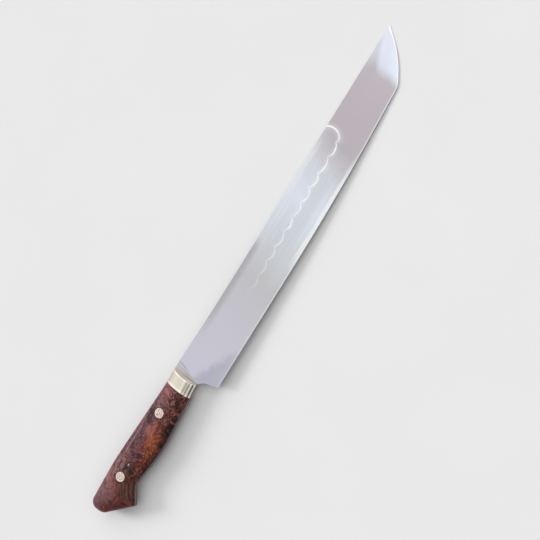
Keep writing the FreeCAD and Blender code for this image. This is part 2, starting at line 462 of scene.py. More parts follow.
# %% Skins of the four pins
PIN_SEGMENTS = 72
PIN_RINGS = 12
WALL_RINGS = 5
PIN_CHAMFER = 0.12 * MM
HIDDEN_BY = 0.15 * MM
HANDLE_PINS = ("handle_pin_front", "handle_pin_rear")
BOLSTER_PINS = ("bolster_pin_upper", "bolster_pin_lower")
SHORTER = {**dict.fromkeys(HANDLE_PINS, 0), **dict.fromkeys(BOLSTER_PINS, HIDDEN_BY)}


def pin_axis(node):
    """Middle of a packed pin in x and y, and its radius."""
    low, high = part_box(node)
    return (low.x + high.x) / 2, (low.y + high.y) / 2, (high.x - low.x) / 2


def pin_loops(node, shorten, wider=0):
    """Circles along a pin. Over its end the radius is r t and the height is that of the handle's side."""
    axis_x, axis_y, radius = pin_axis(node)
    radius = radius + wider
    turn = np.linspace(0, 2 * math.pi, PIN_SEGMENTS, endpoint=False)
    end = (radius - PIN_CHAMFER) * np.linspace(0, 1, PIN_RINGS)
    ring = np.append(end, np.full(WALL_RINGS, radius))[:, None]
    x = axis_x + ring * np.cos(turn)
    y = axis_y + ring * np.sin(turn)
    height = side_height(distance_to_outline(x, y)) - shorten
    down = np.linspace(1, 0, WALL_RINGS + 1)[:-1, None]
    height[PIN_RINGS:] = (height[PIN_RINGS - 1] - PIN_CHAMFER) * down
    x, y = np.vstack([x, x[::-1]]), np.vstack([y, y[::-1]])
    return np.stack([x, y, MID_Z + np.vstack([height, -height[::-1]])], axis=-1)


pins = {}
for node, shorten in SHORTER.items():
    pins[node] = stands_for(skin("turned_" + node, pin_loops(node, shorten)), node)

# %% [markdown]
# ## Drilling for the pins
# On the bench the wood and the bolster are clamped to the tang and drilled together. A hole could be left
# open in each grid, but a circle doesn't suit rows and columns. A Boolean modifier is the drill instead:
# it takes a slightly wider and longer pin away from the piece, and its result is kept as the new mesh.
# The bolster's holes stop short of its skin, because its pins were peened into one with it.

# %% Holes in tang, wood and bolster
HOLE_CLEARANCE = 0.05 * MM
DRILL_PAST = 1 * MM


def drill(piece, *nodes):
    """The piece less one pin per node, wider by the clearance and longer by what the drill runs past."""
    for node in nodes:
        past = DRILL_PAST if node in HANDLE_PINS else HOLE_CLEARANCE
        bit = skin("drill_bit", pin_loops(node, SHORTER[node] - past, HOLE_CLEARANCE))
        cut = piece.modifiers.new("hole", "BOOLEAN")
        cut.operation, cut.solver, cut.object = "DIFFERENCE", "EXACT", bit
        drilled = piece.evaluated_get(bpy.context.evaluated_depsgraph_get())
        whole, bit_mesh = piece.data, bit.data
        piece.data = bpy.data.meshes.new_from_object(drilled)
        piece.modifiers.clear()
        bpy.data.objects.remove(bit)
        bpy.data.meshes.remove(bit_mesh)
        bpy.data.meshes.remove(whole)
    piece.data.name = piece.name
    seal(piece.data)


drill(steel, *HANDLE_PINS, *BOLSTER_PINS)
for hand in SIDES:
    drill(scales[hand], *HANDLE_PINS)
    drill(bolsters[hand], *BOLSTER_PINS)

# %% [markdown]
# ## Distances that the finishes follow
# The steel has a painted reflection band and a painted highlight along its edge, and a pin has a clean
# rim. Both follow the shape of the piece, so each vertex remembers how far it lies from the cutting edge,
# or from the axis of its pin. A finish reads such a number as an attribute, and it stays with the mesh
# wherever the piece goes.

# %% Distance from the edge and from a pin's axis


def remember(piece, name, values):
    """Keeps one number per vertex under a name that a finish can read."""
    piece.data.attributes.new(name, "FLOAT", "POINT").data.foreach_set("value", values)


x, y, _ = points_of(steel.data).T
slope = np.interp(x, outline_x, edge_slope)
remember(steel, "from_edge", over_edge(y, outline_at(x)[0], slope) / MM)
for node, piece in pins.items():
    axis_x, axis_y, _ = pin_axis(node)
    x, y, _ = points_of(piece.data).T
    remember(piece, "from_axis", np.hypot(x - axis_x, y - axis_y) / MM)
print("vertices with a distance:", sum(len(piece.data.vertices) for piece in (steel, *pins.values())))

# %% [markdown]
# ## Writing finishes as formulas
# A finish is a tree of nodes, and most of its nodes only do arithmetic. A small class wraps a socket
# and turns Python's operators into Math nodes, so that a pattern can be written as a formula. One
# method adds every other node. Places in a finish are in millimetres.

# %% A socket that can be calculated with


def both_ways(operation):
    """Two methods for one Math operation: the wire stands first, or the other value does."""
    return (lambda wire, other: wire.tree.math(operation, wire, other),
            lambda wire, other: wire.tree.math(operation, other, wire))


class Wire:
    """An output of a node. Operators on it add Math nodes to the same tree."""

    def __init__(self, tree, socket):
        self.tree = tree
        self.socket = socket

    def __abs__(self):
        return self.tree.math("ABSOLUTE", self)

    def ease(self, low, high, first=0, last=1):
        """Smooth step from first to last while the value goes from low to high."""
        sockets = {"Value": self, 1: low, 2: high, 3: first, 4: last}
        return self.tree.add("ShaderNodeMapRange", {"interpolation_type": "SMOOTHSTEP"}, sockets)

    def between(self, rise, top, fall, end):
        """1 from top to fall, easing in from rise and out to end."""
        return self.ease(rise, top) * self.ease(end, fall)

    __add__, __radd__ = both_ways("ADD")
    __sub__, __rsub__ = both_ways("SUBTRACT")
    __mul__, __rmul__ = both_ways("MULTIPLY")
    __truediv__, __rtruediv__ = both_ways("DIVIDE")
    __pow__, __rpow__ = both_ways("POWER")


def rgb(red, green, blue):
    """A colour as it looks on a screen, 0 to 255, turned into the linear light that shaders use."""
    shown = np.array([red, green, blue]) / 255
    linear = np.where(shown <= 0.04045, shown / 12.92, ((shown + 0.055) / 1.055) ** 2.4)
    return (*linear.tolist(), 1)


print("screen grey 128 is linear", round(rgb(128, 128, 128)[0], 3))

# %% A tree of nodes


class Finish:
    """A material or a world, with one method that adds a node to it."""

    def __init__(self, name, tree=None):
        if tree is None:
            self.material = bpy.data.materials.new(name)
            self.material.use_nodes = True
            tree = self.material.node_tree
        tree.nodes.clear()
        self.tree = tree

    def add(self, kind, settings=None, sockets=None, output=0):
        """Adds a node, sets it up, then fills its sockets with values or links. Returns one output."""
        node = self.tree.nodes.new(kind)
        for key, value in (settings or {}).items():
            if key == "stops":
                ramp = node.color_ramp
                while len(ramp.elements) < len(value):
                    ramp.elements.new(1)
                for stop, (place, colour) in zip(ramp.elements, value):
                    stop.position = place
                    stop.color = colour
            else:
                setattr(node, key, value)
        for key, value in (sockets or {}).items():
            if isinstance(value, Wire):
                self.tree.links.new(value.socket, node.inputs[key])
            else:
                node.inputs[key].default_value = value
        return Wire(self, node.outputs[output]) if len(node.outputs) else node

    def math(self, operation, *values):
        """Arithmetic on up to three values."""
        return self.add("ShaderNodeMath", {"operation": operation}, dict(enumerate(values)))

    def vector(self, operation, sockets):
        """Arithmetic on vectors; the sockets are 0 and 1, or 0 and Scale."""
        return self.add("ShaderNodeVectorMath", {"operation": operation}, sockets)

    def place(self):
        """Object coordinates in millimetres."""
        metres = self.add("ShaderNodeTexCoord", output="Object")
        return self.vector("SCALE", {0: metres, "Scale": 1 / MM})

    def axis(self, vector, number):
        """One number of a vector: 0 is x, 1 is y and 2 is z."""
        return self.add("ShaderNodeSeparateXYZ", None, {0: vector}, number)

    def remembered(self, name):
        """The number that each vertex keeps under a name."""
        return self.add("ShaderNodeAttribute", {"attribute_name": name}, output="Fac")

    def noise(self, vector, scale, detail=2, rough=0.5, output="Fac"):
        """Soft noise with so many lumps per millimetre, in all or for each axis; few draw it out.

        More detail adds finer octaves, and rough is how strong they are."""
        if isinstance(scale, tuple):
            vector = self.add("ShaderNodeMapping", None, {"Vector": vector, "Scale": scale})
            scale = 1
        sockets = {"Vector": vector, "Scale": scale, "Detail": detail, "Roughness": rough}
        return self.add("ShaderNodeTexNoise", None, sockets, output)

    def turned(self, vector, angle):
        """The place turned about z, in a node of its own, because a Mapping scales before it turns."""
        return self.add("ShaderNodeMapping", None, {"Vector": vector, "Rotation": (0, 0, angle)})

    def ramp(self, tones, value):
        """Colour read from a row of screen colours, each at its place from 0 to 1."""
        stops = [(place, rgb(*shade)) for place, shade in tones]
        return self.add("ShaderNodeValToRGB", {"stops": stops}, {"Fac": value})

    def blend(self, share, first, second):
        """Colour between two screen colours or links: first + share (second - first)."""
        pair = [shade if isinstance(shade, Wire) else rgb(*shade) for shade in (first, second)]
        sockets = {"Factor": share, 6: pair[0], 7: pair[1]}
        return self.add("ShaderNodeMix", {"data_type": "RGBA"}, sockets, 2)

    def layered(self, colour, *layers):
        """One coat after another over a ground colour. A layer is a mask, a strength and a colour."""
        for mask, strength, shade in layers:
            colour = self.blend(mask * strength, colour, shade)
        return colour

    def bump(self, height, strength, depth):
        """Normals of a surface that rises by the depth, in metres, where the height is 1."""
        return self.add("ShaderNodeBump", None, {"Height": height, "Strength": strength, "Distance": depth})

    def shade(self, **sockets):
        """The surface shader and the output that every finish ends in."""
        named = {key.replace("_", " "): value for key, value in sockets.items()}
        shader = self.add("ShaderNodeBsdfPrincipled", None, named)
        self.add("ShaderNodeOutputMaterial", None, {"Surface": shader})
        return self.material


def dress(material, *pieces):
    """Gives pieces their one finish."""
    for piece in pieces:
        piece.data.materials.clear()
        piece.data.materials.append(material)
    print("finish:", material.name, "on", *(piece.name for piece in pieces))


# %% [markdown]
# ## Polished steel with a temper line
# The blade was hardened with clay on its back. Where the clay ended, the steel shows a pale line that
# runs along the blade in small waves and curls up to the spine. A painted picture of it would blur from
# near, so the line is a formula in the blade's own millimetres, counted from the heel: a wave with
# pointed crests that climbs slowly, and an ellipse for the curl. What the shader needs is the distance
# from that curve, for a bright thread and a faint glow.

# %% Places on the steel
HEEL = HEEL_X / MM
BLADE_SPAN = (TIP_X - BOLSTER_X) / MM
HEEL_EDGE = heel_low / MM
CLOUDS = (0.012, 0.05, 0.05)
GRAIN = (0.035, 0.55, 0.55)
STROKES = (0.05, 6, 6)
steel_finish = Finish("polished_steel")


def steel_places(finish):
    """What the layers share: x ahead of the heel, height over its edge, distance from the edge, noises.

    Along is 0 at the bolster and 1 at the tip. The noises have fewer lumps per millimetre along the
    blade than across it, so they are drawn out along it."""
    spot = finish.place()
    x = finish.axis(spot, 0) - HEEL
    ahead = x + CHOIL_LENGTH / MM
    return SimpleNamespace(
        spot=spot, x=x, ahead=ahead, along=ahead / BLADE_SPAN,
        height=finish.axis(spot, 1) - HEEL_EDGE, from_edge=finish.remembered("from_edge"),
        cloud=finish.noise(spot, CLOUDS) - 0.5,
        grain=finish.noise(spot, GRAIN, 3, 0.6),
        strokes=finish.noise(spot, STROKES, 3, 0.7))


at = steel_places(steel_finish)
print("blade span", round(BLADE_SPAN, 1), "mm from bolster to tip")

# %% The temper line
WAVE_PITCH = 13.04
WAVE_HEIGHT = 2.7
WAVE_LEAN = 1.2
WAVE_POINT = 0.75
WAVE_LEVEL = 20.3
WAVE_RISE = 0.0257
FIRST_CREST = 90.7
FADE_IN = (FIRST_CREST - 22, FIRST_CREST - 4)
BRIGHTEN = (FIRST_CREST - 16, FIRST_CREST + 50, 0.3, 1)
WIDEN = (FIRST_CREST + 35, FIRST_CREST + 90, 1.25, 1.7)
CURL_X, CURL_HEIGHT = 210.3, 31.8
CURL_REACH = (6.1, 8.0)
CURL_WIDTH = 1 / 0.45
INTO_CURL = (CURL_X - 2.0, CURL_X - 0.8)
THREAD = (0.05, 0.5, 0.85, 0)
GLOW = (0.2, 2.0, 0.2, 0)


def temper_line(finish, at):
    """How strongly the temper line shows at a place, and the height above its middle.

    With t the share of a pitch, the wave is 0.5 - sin(pi t^lean)^point times its height. The curl is
    where the distance from its centre, in shares of its reach, is 1. Noise makes both uneven. How far a
    place is from the line counts in widths of the line, which grow towards the curl."""
    wander = finish.noise(at.spot, 0.11) - 0.5
    uneven = finish.noise(at.spot, 0.55, 3, 0.6) - 0.5
    past_crest = at.x - FIRST_CREST
    pitch_share = finish.math("FRACT", (past_crest + wander * 5) / WAVE_PITCH)
    arch = finish.math("SINE", pitch_share ** WAVE_LEAN * math.pi)
    middle = WAVE_LEVEL + past_crest * WAVE_RISE
    wave = (0.5 - arch ** WAVE_POINT) * (WAVE_HEIGHT + wander * 2)
    from_wave = abs(at.height - (middle + wave + uneven * 2)) / at.x.ease(*WIDEN)
    curl_x, curl_y = (at.x - CURL_X) / CURL_REACH[0], (at.height - CURL_HEIGHT) / CURL_REACH[1]
    from_centre = (curl_x ** 2 + curl_y ** 2) ** 0.5
    from_curl = abs((from_centre - 1) * CURL_REACH[0] + uneven * 0.8) / CURL_WIDTH
    in_curl = at.x.ease(*INTO_CURL)
    distance = from_wave * (1 - in_curl) + from_curl * in_curl
    clear = at.x.ease(*BRIGHTEN) * at.x.ease(*FADE_IN)
    clear = clear * arch.ease(0, 0.9, 0.65, 1) * wander.ease(-0.2, 0.15, 0.7, 1)
    thread = distance.ease(*THREAD)
    glow = distance.ease(*GLOW)
    return (thread + glow) * clear, at.height - middle


at.line, at.above_line = temper_line(steel_finish, at)
print("waves:", round((CURL_X - FIRST_CREST) / WAVE_PITCH, 1))

# %% [markdown]
# ## Tones of the polish, painted reflections and painted shade
# The steel's tone changes softly from heel to tip in tints that are painted reflections of the room, and
# every other change is a layer over it with its own mask: a painted shade wedge at the heel, a strip of
# painted shade and one of painted highlight along the spine, fine streaks in the middle, and a cool, bright
# painted reflection on the tip beyond the shoulder. A pale painted reflection runs along the edge, and the
# bevel has a painted highlight. By the bolster, the plunge carries a warm painted reflection of the bolster
# with a dark painted shade line along its front, and the tang, which is rougher, is a flat grey that stands
# in for the shade it lies in.

# %% Layers of the steel
# Tones and spans are at shares of the way from bolster to tip, heights in mm over the heel's edge.
# These tones are painted reflections: tints of the room mirrored along the polished blade.
BLADE_REFLECTION_TONES = [(0.0, (199, 197, 210)), (0.14, (198, 196, 206)), (0.31, (192, 191, 194)),
               (0.42, (204, 207, 212)), (0.54, (216, 223, 233)), (0.63, (207, 210, 216)),
               (0.67, (196, 194, 199)), (0.72, (185, 178, 183)), (0.80, (188, 179, 186)),
               (0.94, (190, 184, 188))]
SHOULDER = (SHOULDER_X - HEEL_X) / MM
HEEL_SHADE_WEDGE, HEEL_SHADE_SPAN = (22, 14.5), (0.17, 0.08)
SHADED_BACK, SHADED_BACK_SPAN = (30, 36), (0.08, 0.22, 0.36, 0.41)
HIGHLIGHT_BACK, HIGHLIGHT_BACK_SPAN = (32.5, 36), (0.5, 0.56, 0.63, 0.71)
MIDDLE_SPAN = (0.34, 0.46, 0.58, 0.7)
BELOW_LINE = (-14, -9, -4, 1)
EDGE_REFLECTION_BAND, EDGE_REFLECTION_SPAN = (4.6, 3.0), (0.36, 0.44, 0.62, 0.72)
BEVEL_HIGHLIGHT = (1.2, 0.5)
TIP_SLANT = 0.41
LINE_STRENGTH = (FIRST_CREST + 25, FIRST_CREST + 60, 0.8, 1)


def tone_layers(finish, at):
    """Masks over the flat: painted shade wedge at the heel, painted shade and highlight strips along the
    spine, streaks in the middle, and painted reflections towards the tip.
    """
    mottle = finish.noise(at.spot, 0.14) - 0.5
    # Painted shade: a darker wedge at the heel.
    heel = (at.height + at.x * 0.45 + at.cloud * 6 + mottle * 9).ease(*HEEL_SHADE_WEDGE)
    heel = heel * at.along.ease(*HEEL_SHADE_SPAN) * at.height.ease(-4, 10, 0.75, 1)
    # Painted shade along the back of the blade, then a painted highlight strip further along it.
    shaded_spine = at.height.ease(*SHADED_BACK) * at.along.between(*SHADED_BACK_SPAN)
    highlighted_spine = at.height.ease(*HIGHLIGHT_BACK) * at.along.between(*HIGHLIGHT_BACK_SPAN)
    middle = at.along.between(*MIDDLE_SPAN)
    streaks = at.grain.ease(0.5, 0.72) * middle
    # Painted reflection towards the tip: a cooler tone, then the bright tones of the tip facet.
    past_shoulder = at.x - SHOULDER + at.cloud * 10
    before_tip_reflection = (past_shoulder + (at.height - 34) * 0.8).ease(-4, 14)
    over_slant = at.height - past_shoulder * TIP_SLANT
    tip = (past_shoulder - over_slant * 0.1).ease(-5, 6) * over_slant.ease(30.5, 25.5)
    tip_reflection_tone = finish.blend((over_slant + at.grain * 6).ease(12, 24), (226, 234, 247), (220, 224, 238))
    soft_back = at.above_line.between(*BELOW_LINE) * middle
    return [(heel, 0.85, (174, 174, 188)), (shaded_spine, 0.9, (172, 171, 176)),
            (highlighted_spine, 0.45, (234, 236, 243)), (streaks, 0.35, (228, 236, 248)),
            (before_tip_reflection, 0.9, (208, 211, 222)), (tip, 0.95, tip_reflection_tone),
            (soft_back, 0.6, (200, 206, 212))]


def edge_layers(at):
    """Masks near the edge, by the distance from it: a painted reflection band and a painted highlight on
    the bevel; then the temper line itself.
    """
    # Painted reflection: a pale band along the edge.
    rim = (at.from_edge + (at.cloud + at.grain - 0.5) * 5).ease(*EDGE_REFLECTION_BAND)
    rim = rim * at.along.between(*EDGE_REFLECTION_SPAN)
    # Painted highlight along the edge bevel.
    bevel = at.from_edge.ease(*BEVEL_HIGHLIGHT) * at.x.ease(0, 2)
    return [(rim, 0.6, (242, 245, 243)), (bevel, 0.6, (240, 241, 243)),
            (at.line, at.x.ease(*LINE_STRENGTH), (246, 247, 249))]


print("tones along the blade:", len(BLADE_REFLECTION_TONES))

# %% Finish of the steel
FOOT, TOP = ((place - heel_low) / MM for place in (bolster_foot, bolster_top))


def plunge_layers(finish, at, tang):
    """Masks at the bolster: a warm painted reflection on the ramp, a painted shade line at its front, and
    the tang in painted shade.

    At share s of the height from foot to top, the ramp ends at its run times s^curve."""
    share = (at.height - FOOT) / (TOP - FOOT)
    ramp_end = finish.math("MAXIMUM", share, 0.001) ** PLUNGE_CURVE * (PLUNGE_RUN / MM)
    # Painted reflection of the bolster, warm, on the plunge's ramp.
    warm = (at.ahead - ramp_end * 0.8).ease(0.4, -1.2)
    plunge_reflection_tone = finish.blend(share.ease(0.2, 0.9), (156, 152, 138), (190, 183, 182))
    # Painted shade: a dark line along the front of the ramp.
    front = abs(at.ahead - ramp_end).ease(0.1, 1.2, 1, 0) * share.ease(0.3, 0.75)
    # The tang's flat dark grey is painted shade.
    return [(warm, 0.8, plunge_reflection_tone), (front, 0.5, (140, 138, 148)), (tang, 1, (132, 126, 128))]


def paint_steel(finish, at):
    """Tone of painted reflections along the blade under all layers, and fine polishing strokes in gloss and
    relief.
    """
    tang = at.ahead.ease(0, -0.2)
    tone = finish.ramp(BLADE_REFLECTION_TONES, at.along + at.cloud * 0.12)
    tone = finish.layered(tone, *tone_layers(finish, at), *edge_layers(at),
                          *plunge_layers(finish, at, tang))
    rough = 0.17 + (at.strokes - 0.5) * 0.05 + at.line * 0.1 + tang * 0.2
    normal = finish.bump(at.strokes, 0.02, 0.0001)
    return finish.shade(Base_Color=tone, Metallic=1, Roughness=rough, Normal=normal)


dress(paint_steel(steel_finish, at), steel)

# %% [markdown]
# ## Nickel silver
# Bolster and pins are a pale, slightly yellow alloy of copper and nickel. One colour with one gloss
# would look like chrome. It was polished by hand, so fine lines run along the knife. The bolster's front
# edge and its end at the wood get painted highlights, and its front face a painted reflection of the
# blade. The large pins came from patterned rod: small dark dots inside a clean rim.

# %% Finish of the bolster
SEAM, BOLSTER = SEAM_X / MM, BOLSTER_X / MM
SEAM_HIGHLIGHT = (SEAM + 3.0, SEAM + 0.8)
FRONT_HIGHLIGHT = (BOLSTER - 3.2, BOLSTER - 1.8)
FRONT_PLANE = (BOLSTER_X + FRONT_LEAN * HALF_STOCK) / MM
CLOTH_LINES = (0.12, 3.5, 3.5)


def paint_bolster(finish):
    """Cream metal, with painted highlights towards both ends and a painted reflection of the blade on its
    front face, with polishing lines.

    The front face is where x + lean |z| reaches the front plane."""
    spot = finish.place()
    x, z = finish.axis(spot, 0), finish.axis(spot, 2)
    strokes = finish.noise(spot, CLOTH_LINES, 3, 0.7)
    cloud = finish.noise(spot, 0.3, 3, 0.6)
    base = finish.blend(cloud, (212, 207, 190), (224, 216, 202))
    # Painted highlights by the seam and along the front edge.
    ends = x.ease(*SEAM_HIGHLIGHT) + x.ease(*FRONT_HIGHLIGHT)
    # Painted reflection of the blade on the front face.
    front = (x + abs(z - MID_Z / MM) * FRONT_LEAN - FRONT_PLANE).ease(-0.35, -0.1)
    base = finish.layered(base, (ends, 1, (244, 236, 225)), (front, 1, (228, 218, 202)))
    rough = 0.11 + (strokes - 0.5) * 0.08 + (cloud - 0.5) * 0.04
    normal = finish.bump(strokes, 0.06, 0.0002)
    return finish.shade(Base_Color=base, Metallic=1, Roughness=rough, Normal=normal)


dress(paint_bolster(Finish("nickel_silver_polish")), *bolsters.values())

# %% Finish of the pins
DOTS_PER_MM = 0.6
DOT_RIM = (0.2, 0.42)
PIN_RIM = (3.5, 3.0)


def paint_pins(finish):
    """Pinkish cream metal. A dot lies where the distance to the nearest cell's middle is small."""
    spot = finish.place()
    cells = finish.add("ShaderNodeTexVoronoi", {"feature": "F1", "voronoi_dimensions": "2D"},
                       {"Vector": spot, "Scale": DOTS_PER_MM, "Randomness": 0.6})
    dots = cells.ease(*DOT_RIM, 1, 0) * finish.remembered("from_axis").ease(*PIN_RIM)
    cloud = finish.noise(spot, 0.4)
    base = finish.blend(cloud, (230, 212, 202), (224, 206, 200))
    base = finish.layered(base, (dots, 0.65, (104, 80, 72)))
    rough = 0.15 + (cloud - 0.5) * 0.04
    normal = finish.bump(dots, -0.3, 0.0001)
    return finish.shade(Base_Color=base, Metallic=1, Roughness=rough, Normal=normal)


dress(paint_pins(Finish("nickel_silver_rod")), *pins.values())

# %% [markdown]
# ## Burl
# Burl grows in every direction at once, so its figure swirls. A picture laid over a slab would smear on
# its rounded sides, so the pattern lives in space, like the wood itself: noise bends the coordinates, and
# contours of a second, slow noise make the figure, fine rings and wider swirls. Broad regions change the
# ground colour from nearly black to chestnut. A few patches have their place on this handle: an orange
# heart between the pins, dark pockets beside them, paler wood at the butt and by the bolster. At the beak
# the wood was cut along its fibres, so there the noise is turned and drawn out into streaks.

# %% Places in the wood
BUTT = BUTT_X / MM
WIDE_BEND, NARROW_BEND = (0.05, 20), (0.17, 7)
FLECKS = (0.22, 0.42, 0.42)
RING_TURNS = 100
SWIRL_TURNS = (94, 114, 34, 44)
burl_finish = Finish("oiled_burl")


def warped(finish, spot, scale, reach):
    """The place moved by up to half the reach along a vector of noise."""
    drift = finish.noise(spot, scale, output="Color")
    drift = finish.vector("SUBTRACT", {0: drift, 1: (0.5, 0.5, 0.5)})
    return finish.vector("ADD", {0: spot, 1: finish.vector("SCALE", {0: drift, "Scale": reach})})


def wood_places(finish):
    """What the layers share: x from the butt, y, flecks, a ragged edge, and the lines of the figure.

    The lines are sin(k growth + flecks): contours of a slow noise, with k turns per unit of it. The
    fine rings have many turns, and the swirl has fewer, which come closer by the bolster."""
    spot = finish.place()
    bent = warped(finish, warped(finish, spot, *WIDE_BEND), *NARROW_BEND)
    x = finish.axis(spot, 0) - BUTT
    growth = finish.noise(bent, 0.06)
    fleck = finish.noise(bent, FLECKS, 4, 0.65)
    return SimpleNamespace(
        spot=spot, bent=bent, x=x, y=finish.axis(spot, 1), fleck=fleck,
        ragged=(finish.noise(bent, 0.16, 3, 0.6) - 0.5) * 3,
        rings=finish.math("SINE", growth * RING_TURNS + fleck * 4),
        swirl=finish.math("SINE", growth * x.ease(*SWIRL_TURNS) + fleck * 2.2))


wood = wood_places(burl_finish)
print("handle from butt to seam:", round(SEAM - BUTT, 1), "mm")

# %% Patches of this handle
# Each row has its middle in mm from the butt and in y, its reach in both, its strength and its colour.
PATCHES = [
    ((95, 12.5), (9, 4.5), 0.85, (42, 38, 36)),     # dark pocket above the front pin
    ((45, 4.5), (10, 5), 0.8, (34, 22, 22)),        # dark pocket ahead of the rear pin
    ((97, -6), (12, 5), 0.75, (34, 8, 7)),          # deep red belly under the front pin
    ((29, 15.5), (12, 5.5), 0.75, (138, 92, 86)),   # pale wood over the butt
    ((116, 12), (8, 6), 0.65, (142, 80, 92)),       # pink by the bolster
    ((106, 8), (6, 8), 0.55, (112, 86, 90)),        # mauve ahead of the front pin
    ((89, 0), (9, 5), 0.6, (118, 52, 38)),          # chestnut behind the front pin
    ((60, 4), (10, 5), 0.5, (100, 60, 66)),         # mauve between the pins
    ((83, 6), (9, 5), 0.7, (166, 96, 82)),          # pale orange above the heart
    ((44, 13), (9, 4), 0.6, (150, 106, 106)),       # pale wood above the rear pin
    ((19, 10), (10, 8), 0.65, (126, 84, 84)),       # brown of the butt
    ((112, 1), (10, 7), 0.65, (58, 24, 24)),        # deep brown under the bolster's pink
    ((11, -3), (9, 8), 0.5, (108, 62, 60)),         # calm brown at the butt's end
]
MARKS_AND_HIGHLIGHT = [
    # The next row is a painted highlight: a pale streak along the back.
    ((67, 14.6), (17, 0.8), 0.6, (150, 118, 124)),  # one pale streak along the back
    ((48.7, 6), (1.1, 0.7), 0.8, (190, 178, 172)),  # small pale knot
]
HEART = ((73, -1.5), (15, 7))


def patch(wood, middle, reach, ragged):
    """Soft spot: 1 in its middle and 0 beyond its reach, by the square of the distance in reaches."""
    square = ((wood.x - middle[0]) / reach[0]) ** 2 + ((wood.y - middle[1]) / reach[1]) ** 2
    return (square + ragged).ease(0.1, 1.2, 1, 0)


def placed(wood, rows):
    """One layer for each row: its soft spot, its strength and its colour."""
    return [(patch(wood, middle, reach, wood.ragged), strength, shade)
            for middle, reach, strength, shade in rows]


def patch_layers(finish, wood):
    """Masks with a place: the back's painted sheen, the heart and the patches."""
    # Painted sheen: the spine half of the handle is lightened towards mauve grey.
    sheen = (wood.y + wood.ragged * 2).ease(1, 12)
    heart = patch(wood, *HEART, wood.ragged)
    flame = finish.blend(wood.fleck.ease(0.34, 0.68), (88, 30, 16), (188, 94, 50))
    return [(sheen, 0.55, (116, 84, 96)), (heart, 0.9, flame), *placed(wood, PATCHES)]


print("patches:", len(PATCHES), "marks:", len(MARKS_AND_HIGHLIGHT))

# %% Fibres and lines of the wood
# A range in mm from the butt is followed by how strongly the lines show before and after it.
BEAK = ((31, -3), (12, 8.5))
FIBRE_TURN = math.radians(-39)
FIBRES = (0.04, 0.45, 0.45)
RINGS_REAR, RINGS_FRONT = (34, 50, 0.4, 1), (88, 104, 1, 1.35)
DARK_REAR, DARK_FRONT = (10, 34, 0.35, 1), (84, 100, 1, 0.55)
PALE_FRONT = (78, 108, 0.18, 1)


def beak_layer(finish, wood):
    """Long fibres at the beak: noise that is turned first and then drawn out along its new x."""
    fibre_place = finish.turned(warped(finish, wood.spot, 0.08, 3), FIBRE_TURN)
    fibres = finish.noise(fibre_place, FIBRES, 3, 0.6)
    streaks = finish.blend(fibres.ease(0.4, 0.56), (30, 16, 10), (98, 62, 44))
    return patch(wood, *BEAK, wood.ragged * 0.5), 0.9, streaks


def line_layers(wood, belly, beak):
    """Dark and pale fine rings, then the dark and pale lines of the swirl.

    The beak hides most of them, the painted shade on the belly hides the pale rings, and the front shows
    them best."""
    calm = 1 - beak * 0.8
    shown = wood.x.ease(*RINGS_REAR) * wood.x.ease(*RINGS_FRONT)
    shown = shown * wood.fleck.ease(0.3, 0.6, 0.4, 1) * calm
    dark_rings = wood.rings.ease(0.1, -0.9) * shown
    pale_rings = wood.rings.ease(0.2, 0.95) * shown * (1 - belly * 0.8)
    dark_swirl = wood.swirl.ease(-0.5, -0.95) * wood.x.ease(*DARK_REAR)
    dark_swirl = dark_swirl * wood.x.ease(*DARK_FRONT) * calm
    pale_swirl = wood.swirl.ease(0.8, 1) * wood.x.ease(*PALE_FRONT)
    return [(dark_rings, 0.45, (20, 5, 5)), (pale_rings, 0.28, (172, 112, 96)),
            (dark_swirl, 0.55, (18, 4, 4)), (pale_swirl, 0.55, (148, 102, 96))]


print("fibres lean by", round(-math.degrees(FIBRE_TURN)), "degrees")

# %% Finish of the wood
GROUND_TONES = [(0.32, (16, 3, 3)), (0.42, (46, 10, 8)), (0.47, (88, 26, 17)), (0.50, (112, 44, 28)),
                (0.53, (56, 15, 12)), (0.58, (92, 30, 22)), (0.63, (132, 66, 46)), (0.70, (52, 16, 14))]
PORES = (0.5, 1.1, 1.1)
BELLY_SHADE_SIDE, BELLY_SHADE_REAR, BELLY_SHADE_FRONT = (-3, -9), (34, 46), (96, 112, 0.7, 0.9)


def paint_burl(finish, wood):
    """Ground colour and patches, painted shade on the belly and the beak, then lines, a knot, a painted
    highlight and pores on top.
    """
    ground = finish.ramp(GROUND_TONES, finish.noise(wood.bent, 0.095, 5, 0.62))
    # Painted shade: the belly side of the handle is darkened.
    belly = wood.y.ease(*BELLY_SHADE_SIDE) * wood.x.ease(*BELLY_SHADE_REAR) * wood.x.ease(*BELLY_SHADE_FRONT)
    beak = beak_layer(finish, wood)
    pores = finish.noise(wood.bent, PORES, 2, 0.6).ease(0.58, 0.7)
    # The belly layer is painted shade, nearly black.
    colour = finish.layered(ground, *patch_layers(finish, wood), (belly, 1, (22, 5, 4)), beak,
                            *line_layers(wood, belly, beak[0]), *placed(wood, MARKS_AND_HIGHLIGHT),
                            (pores, 0.6, (14, 4, 4)))
    rough = 0.36 + (wood.fleck - 0.5) * 0.12 + pores * 0.1
    normal = finish.bump(wood.swirl * 0.3 - pores, 0.06, 0.0002)
    return finish.shade(Base_Color=colour, Roughness=rough, Normal=normal, Specular_IOR_Level=0.2,
                        Coat_Weight=0.1, Coat_Roughness=0.2)


dress(paint_burl(burl_finish, wood), *scales.values())

# %% [markdown]
# ## Floor
# The knife lies on its side. Its weight is ahead of the bolster, so it rests on the bolster's front and
# on the tip, and the floor is laid through these two places: a plain pale sheet, only just uneven in tone.

